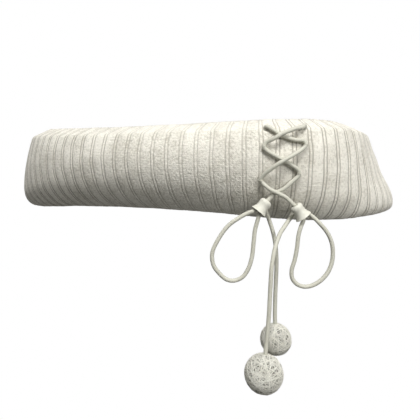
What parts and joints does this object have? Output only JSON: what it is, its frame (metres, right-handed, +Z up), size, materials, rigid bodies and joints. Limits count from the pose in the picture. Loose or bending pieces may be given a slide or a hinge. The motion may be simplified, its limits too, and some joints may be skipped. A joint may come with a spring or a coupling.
{
  "type": "lace-up knit headband",
  "caption": "Padded rib-knit headband with criss-cross cord lacing on one side, ending in a bow with bell caps and hanging yarn-ball tassels.",
  "frame": {"origin": "centre of the head opening at the band's mid-height", "axes": "+Z up through the opening towards the top edge, +X along the long way of the oval, -Y the laced side"},
  "size_m": [0.2267, 0.1555, 0.1175],
  "materials": {
    "rib_knit": "soft matte",
    "lining_knit": "soft matte",
    "padding": "matte",
    "elastic": "matte",
    "thread": "matte",
    "cord": "smooth matte",
    "bell": "satin",
    "yarn": "fuzzy matte"
  },
  "bodies": {
    "band": {"rib_shell": "rib_knit", "padding": "padding", "lining": "lining_knit", "elastic_tape": "elastic", "closing_seam": "lining_knit", "top_seam_thread": "thread", "bottom_seam_thread": "thread", "lacing_backing": "elastic", "lace": "cord", "upper_left_stitch": "thread", "lower_left_stitch": "thread", "upper_right_stitch": "thread", "lower_right_stitch": "thread", "left_knot": "cord", "right_knot": "cord"},
    "left_bell": {"left_bell": "bell"},
    "left_loop": {"left_loop": "cord"},
    "left_tail_knot": {"left_tail_knot": "cord"},
    "left_tail": {"left_tail": "cord", "left_ball": "yarn", "left_end_knot": "cord"},
    "right_bell": {"right_bell": "bell"},
    "right_loop": {"right_loop": "cord"},
    "right_tail_knot": {"right_tail_knot": "cord"},
    "right_tail": {"right_tail": "cord", "right_ball": "yarn", "right_end_knot": "cord"}
  },
  "joints": [
    {"name": "left_bell_slide", "type": "slide", "parent": "band", "child": "left_bell", "axis": [0.5841, 0.3604, 0.7273], "range_m": [0, 0.0025]},
    {"name": "left_loop_sway", "type": "hinge", "parent": "band", "child": "left_loop", "pos_m": [0.06893, -0.06668, -0.01763], "axis": [0.483, -0.8756, 0], "range_deg": [-22, 8]},
    {"name": "left_tail_sway", "type": "hinge", "parent": "band", "child": "left_tail_knot", "pos_m": [0.06888, -0.06137, -0.0155], "axis": [0.483, -0.8756, 0], "range_deg": [-12, 12]},
    {"name": "left_tail_swing", "type": "hinge", "parent": "left_tail_knot", "child": "left_tail", "pos_m": [0.06888, -0.06137, -0.0155], "axis": [0.8756, 0.483, 0], "range_deg": [0, 35]},
    {"name": "right_bell_slide", "type": "slide", "parent": "band", "child": "right_bell", "axis": [-0.6124, -0.4001, 0.6818], "range_m": [0, 0.0025]},
    {"name": "right_loop_sway", "type": "hinge", "parent": "band", "child": "right_loop", "pos_m": [0.08534, -0.05833, -0.01938], "axis": [0.483, -0.8756, 0], "range_deg": [-5, 22]},
    {"name": "right_tail_sway", "type": "hinge", "parent": "band", "child": "right_tail_knot", "pos_m": [0.08212, -0.0547, -0.01687], "axis": [0.483, -0.8756, 0], "range_deg": [-10, 8]},
    {"name": "right_tail_swing", "type": "hinge", "parent": "right_tail_knot", "child": "right_tail", "pos_m": [0.08212, -0.0547, -0.01687], "axis": [0.8756, 0.483, 0], "range_deg": [-25, 0]}
  ]
}
